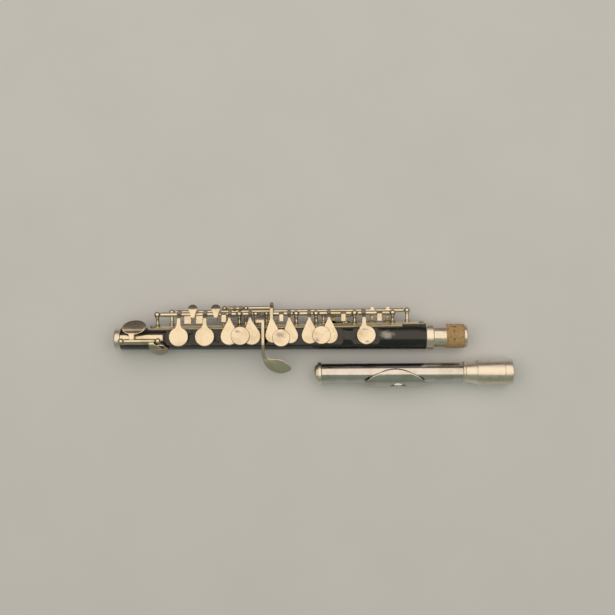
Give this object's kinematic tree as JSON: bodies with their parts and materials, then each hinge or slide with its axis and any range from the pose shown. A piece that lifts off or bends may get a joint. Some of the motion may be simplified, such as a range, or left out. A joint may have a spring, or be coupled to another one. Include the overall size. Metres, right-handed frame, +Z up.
{
  "type": "piccolo",
  "caption": "Black-bodied piccolo with silver-plated keywork, its metal head joint drawn off and lying beside the body.",
  "frame": {"origin": "centre of the outline, on the surface that the body and the head joint lie on", "axes": "+X along the body's bore from the foot end towards the tenon, +Y towards the hinge-rod side, +Z up out of the key cups"},
  "size_m": [0.2434, 0.0524, 0.0213],
  "materials": {
    "silver_plate": "silver plate, polished, slightly tarnished",
    "head_silver": "silver plate, polished",
    "black_resin": "satin gloss",
    "spring_steel": "polished steel",
    "cork": "cork, matte",
    "pad_skin": "fish-skin over felt"
  },
  "bodies": {
    "body": {"body_tube": "black_resin", "foot_ring": "silver_plate", "tenon_sleeve": "silver_plate", "tenon_cork": "cork", "main_rib": "silver_plate", "end_rib": "silver_plate", "rib_screws": "spring_steel", "stack_posts": "silver_plate", "trill_posts": "silver_plate", "lower_g_posts": "silver_plate", "thumb_post": "silver_plate", "dsharp_saddle": "silver_plate", "dsharp_posts": "silver_plate", "dsharp_rod": "spring_steel", "lower_stack_rod": "spring_steel", "upper_stack_rod": "spring_steel", "lower_g_rod": "spring_steel", "thumb_rod": "spring_steel", "needle_springs": "spring_steel"},
    "dsharp": {"dsharp_key": "silver_plate", "dsharp_pad": "pad_skin"},
    "low_d": {"d_key": "silver_plate", "d_pad": "pad_skin"},
    "e": {"e_key": "silver_plate", "e_pad": "pad_skin"},
    "f": {"f_key": "silver_plate", "f_pad": "pad_skin", "f_touch": "silver_plate"},
    "fsharp": {"fsharp_key": "silver_plate", "fsharp_pad": "pad_skin"},
    "gsharp": {"gsharp_key": "silver_plate", "gsharp_pad": "pad_skin"},
    "lower_g": {"lower_g_key": "silver_plate", "lower_g_pad": "pad_skin"},
    "upper_g": {"upper_g_key": "silver_plate", "upper_g_pad": "pad_skin", "g_touch": "silver_plate"},
    "a": {"a_key": "silver_plate", "a_pad": "pad_skin", "a_touch": "silver_plate"},
    "bflat": {"bflat_key": "silver_plate", "bflat_pad": "pad_skin"},
    "c": {"c_key": "silver_plate", "c_pad": "pad_skin"},
    "thumb": {"thumb_key": "silver_plate", "thumb_pad": "pad_skin"},
    "short_trill": {"short_trill_key": "silver_plate", "short_trill_pad": "pad_skin"},
    "long_trill": {"long_trill_key": "silver_plate", "long_trill_pad": "pad_skin", "trill_rod": "spring_steel"},
    "split_e": {"split_e_link": "silver_plate"},
    "head": {"head_tube": "head_silver", "receiver": "head_silver", "lip_plate": "head_silver", "riser": "head_silver"},
    "crown": {"crown": "head_silver"},
    "stopper": {"stopper_cork": "cork", "stopper_screw": "silver_plate"}
  },
  "joints": [
    {"name": "dsharp_press", "type": "hinge", "parent": "body", "child": "dsharp", "pos_m": [-0.105, 0.00249, 0.01835], "axis": [1, 0, 0], "range_deg": [-8, 0], "stiffness_Nm_per_rad": 0.01, "springref_deg": 20.05},
    {"name": "d_press", "type": "hinge", "parent": "body", "child": "low_d", "pos_m": [-0.0837, 0.01889, 0.01265], "axis": [1, 0, 0], "range_deg": [0, 5.1], "stiffness_Nm_per_rad": 0.01, "springref_deg": -20.05},
    {"name": "e_press", "type": "hinge", "parent": "body", "child": "e", "pos_m": [-0.0662, 0.01889, 0.01265], "axis": [1, 0, 0], "range_deg": [0, 5.1], "stiffness_Nm_per_rad": 0.01, "springref_deg": -20.05},
    {"name": "f_press", "type": "hinge", "parent": "body", "child": "f", "pos_m": [-0.0527, 0.01889, 0.01265], "axis": [1, 0, 0], "range_deg": [0, 5.1], "stiffness_Nm_per_rad": 0.01, "springref_deg": -20.05},
    {"name": "fsharp_close", "type": "hinge", "parent": "body", "child": "fsharp", "pos_m": [-0.0397, 0.01889, 0.01265], "axis": [1, 0, 0], "range_deg": [0, 5.1], "stiffness_Nm_per_rad": 0.01, "springref_deg": -20.05},
    {"name": "gsharp_press", "type": "hinge", "parent": "body", "child": "gsharp", "pos_m": [-0.0315, 0.01889, 0.01265], "axis": [1, 0, 0], "range_deg": [0, 7], "stiffness_Nm_per_rad": 0.01, "springref_deg": -20.05},
    {"name": "lower_g_close", "type": "hinge", "parent": "body", "child": "lower_g", "pos_m": [-0.0317, 0.02299, 0.00555], "axis": [1, 0, 0], "range_deg": [0, 3.98], "stiffness_Nm_per_rad": 0.01, "springref_deg": -20.05},
    {"name": "upper_g_press", "type": "hinge", "parent": "body", "child": "upper_g", "pos_m": [-0.0193, 0.01889, 0.01265], "axis": [1, 0, 0], "range_deg": [0, 5.1], "stiffness_Nm_per_rad": 0.01, "springref_deg": -20.05},
    {"name": "a_press", "type": "hinge", "parent": "body", "child": "a", "pos_m": [-0.004, 0.01889, 0.01265], "axis": [1, 0, 0], "range_deg": [0, 5.1], "stiffness_Nm_per_rad": 0.01, "springref_deg": -20.05},
    {"name": "bflat_close", "type": "hinge", "parent": "body", "child": "bflat", "pos_m": [0.0138, 0.01889, 0.01265], "axis": [1, 0, 0], "range_deg": [0, 5.1], "stiffness_Nm_per_rad": 0.01, "springref_deg": -20.05},
    {"name": "c_press", "type": "hinge", "parent": "body", "child": "c", "pos_m": [0.0372, 0.01889, 0.01265], "axis": [1, 0, 0], "range_deg": [0, 5.1], "stiffness_Nm_per_rad": 0.01, "springref_deg": -20.05},
    {"name": "thumb_press", "type": "hinge", "parent": "body", "child": "thumb", "pos_m": [0.0163, 0.01809, 0.00835], "axis": [1, 0, 0], "range_deg": [-6.9, 0], "stiffness_Nm_per_rad": 0.01, "springref_deg": 20.05},
    {"name": "short_trill_press", "type": "hinge", "parent": "body", "child": "short_trill", "pos_m": [-0.011, 0.02059, 0.00955], "axis": [1, 0, 0], "range_deg": [0, 12], "stiffness_Nm_per_rad": 0.01, "springref_deg": -20.05},
    {"name": "long_trill_press", "type": "hinge", "parent": "body", "child": "long_trill", "pos_m": [-0.0142, 0.02059, 0.00955], "axis": [1, 0, 0], "range_deg": [0, 12], "stiffness_Nm_per_rad": 0.01, "springref_deg": -20.05},
    {"name": "split_e_rock", "type": "hinge", "parent": "body", "child": "split_e", "pos_m": [-0.0477, 0.02299, 0.00555], "axis": [1, 0, 0], "range_deg": [0, 4.1]},
    {"name": "head_lift", "type": "slide", "parent": "body", "child": "head", "axis": [0, 0, 1], "range_m": [0, 0.06]},
    {"name": "crown_turn", "type": "hinge", "parent": "head", "child": "crown", "pos_m": [0.003, -0.01771, 0.0082], "axis": [1, 0, 0], "range_deg": [-360, 360]},
    {"name": "stopper_draw", "type": "slide", "parent": "head", "child": "stopper", "axis": [1, 0, 0], "range_m": [-0.0005, 0.0005]}
  ],
  "couplings": [
    {"joint": "fsharp_close", "follows": "f_press", "ratio": 1},
    {"joint": "lower_g_close", "follows": "upper_g_press", "ratio": 0.7784},
    {"joint": "bflat_close", "follows": "a_press", "ratio": 1},
    {"joint": "split_e_rock", "follows": "e_press", "ratio": 0.8},
    {"joint": "stopper_draw", "follows": "crown_turn", "m_per_rad": 0.000079577}
  ]
}
